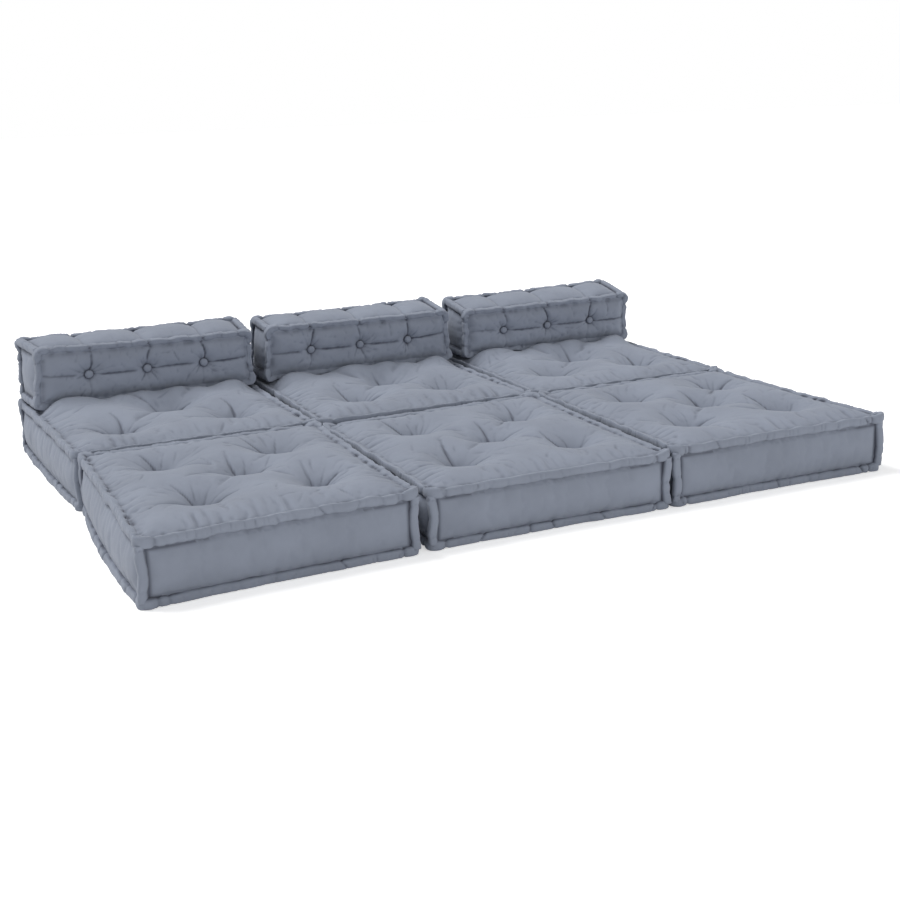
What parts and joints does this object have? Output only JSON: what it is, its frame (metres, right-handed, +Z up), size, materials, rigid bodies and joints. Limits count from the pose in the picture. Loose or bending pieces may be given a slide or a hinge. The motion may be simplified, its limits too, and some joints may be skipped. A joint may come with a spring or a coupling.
{
  "type": "modular sofa",
  "caption": "Low modular floor sofa of loose tufted seat cushions with rolled edges, and buttoned back cushions standing along the rear.",
  "frame": {"origin": "on the floor, in the middle of the rectangle that the six seat cushions cover", "axes": "+X to the right as seen from the front, +Y to the rear where the backs stand, +Z up"},
  "size_m": [2.124, 1.512, 0.3586],
  "materials": {
    "panel_cloth": "matte",
    "border_cloth": "matte",
    "rolled_edge_cloth": "matte",
    "button_cloth": "matte",
    "fibre_fill": "soft",
    "twine": "matte"
  },
  "bodies": {
    "front_left": {"front_left_top_panel": "panel_cloth", "front_left_bottom_panel": "panel_cloth", "front_left_fill": "fibre_fill", "front_left_border": "border_cloth", "front_left_rolled_edges": "rolled_edge_cloth", "front_left_tuft_ties": "twine"},
    "front_centre": {"front_centre_top_panel": "panel_cloth", "front_centre_bottom_panel": "panel_cloth", "front_centre_fill": "fibre_fill", "front_centre_border": "border_cloth", "front_centre_rolled_edges": "rolled_edge_cloth", "front_centre_tuft_ties": "twine"},
    "front_right": {"front_right_top_panel": "panel_cloth", "front_right_bottom_panel": "panel_cloth", "front_right_fill": "fibre_fill", "front_right_border": "border_cloth", "front_right_rolled_edges": "rolled_edge_cloth", "front_right_tuft_ties": "twine"},
    "rear_left": {"rear_left_top_panel": "panel_cloth", "rear_left_bottom_panel": "panel_cloth", "rear_left_fill": "fibre_fill", "rear_left_border": "border_cloth", "rear_left_rolled_edges": "rolled_edge_cloth", "rear_left_tuft_ties": "twine"},
    "rear_centre": {"rear_centre_top_panel": "panel_cloth", "rear_centre_bottom_panel": "panel_cloth", "rear_centre_fill": "fibre_fill", "rear_centre_border": "border_cloth", "rear_centre_rolled_edges": "rolled_edge_cloth", "rear_centre_tuft_ties": "twine"},
    "rear_right": {"rear_right_top_panel": "panel_cloth", "rear_right_bottom_panel": "panel_cloth", "rear_right_fill": "fibre_fill", "rear_right_border": "border_cloth", "rear_right_rolled_edges": "rolled_edge_cloth", "rear_right_tuft_ties": "twine"},
    "back_left": {"back_left_front_panel": "panel_cloth", "back_left_rear_panel": "panel_cloth", "back_left_fill": "fibre_fill", "back_left_border": "border_cloth", "back_left_rolled_edges": "rolled_edge_cloth", "back_left_tuft_twines": "twine", "back_left_buttons": "button_cloth"},
    "back_centre": {"back_centre_front_panel": "panel_cloth", "back_centre_rear_panel": "panel_cloth", "back_centre_fill": "fibre_fill", "back_centre_border": "border_cloth", "back_centre_rolled_edges": "rolled_edge_cloth", "back_centre_tuft_twines": "twine", "back_centre_buttons": "button_cloth"},
    "back_right": {"back_right_front_panel": "panel_cloth", "back_right_rear_panel": "panel_cloth", "back_right_fill": "fibre_fill", "back_right_border": "border_cloth", "back_right_rolled_edges": "rolled_edge_cloth", "back_right_tuft_twines": "twine", "back_right_buttons": "button_cloth"}
  },
  "joints": [
    {"name": "rear_left_pull_aside", "type": "slide", "parent": "rear_centre", "child": "rear_left", "axis": [-1, 0, 0], "range_m": [0, 0.4]},
    {"name": "rear_right_pull_aside", "type": "slide", "parent": "rear_centre", "child": "rear_right", "axis": [1, 0, 0], "range_m": [0, 0.4]},
    {"name": "front_left_pull_forward", "type": "slide", "parent": "rear_left", "child": "front_left", "axis": [0, -1, 0], "range_m": [0, 0.4]},
    {"name": "front_centre_pull_forward", "type": "slide", "parent": "rear_centre", "child": "front_centre", "axis": [0, -1, 0], "range_m": [0, 0.4]},
    {"name": "front_right_pull_forward", "type": "slide", "parent": "rear_right", "child": "front_right", "axis": [0, -1, 0], "range_m": [0, 0.4]},
    {"name": "back_left_lift_off", "type": "slide", "parent": "rear_left", "child": "back_left", "axis": [0, 0, 1], "range_m": [0, 0.35]},
    {"name": "back_centre_lift_off", "type": "slide", "parent": "rear_centre", "child": "back_centre", "axis": [0, 0, 1], "range_m": [0, 0.35]},
    {"name": "back_right_lift_off", "type": "slide", "parent": "rear_right", "child": "back_right", "axis": [0, 0, 1], "range_m": [0, 0.35]}
  ]
}
